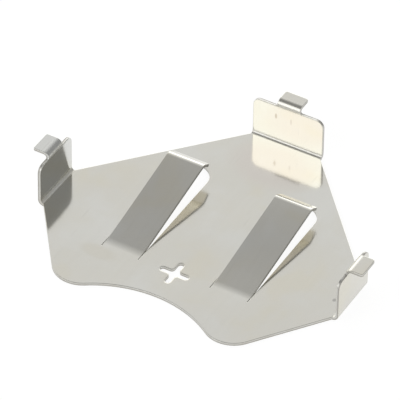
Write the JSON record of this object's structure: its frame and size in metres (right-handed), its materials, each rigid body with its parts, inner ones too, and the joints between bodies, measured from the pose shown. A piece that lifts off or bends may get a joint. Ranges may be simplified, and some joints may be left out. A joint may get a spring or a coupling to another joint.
{
  "type": "coin cell holder",
  "caption": "Folded sheet-metal coin cell holder for a circuit board, with spring fingers, upright walls, outward solder feet and a plus-shaped cut-out.",
  "frame": {"origin": "on the cell's axis, at the outer face of the plate", "axes": "+X across the cell towards the right-hand wall, +Y from the open front to the rear wall, +Z from the plate towards the solder feet"},
  "size_m": [0.0236, 0.0196, 0.0034],
  "materials": {
    "plated_sheet": "bright nickel plate over spring bronze sheet"
  },
  "bodies": {
    "root": {"retainer": "plated_sheet"}
  },
  "joints": []
}
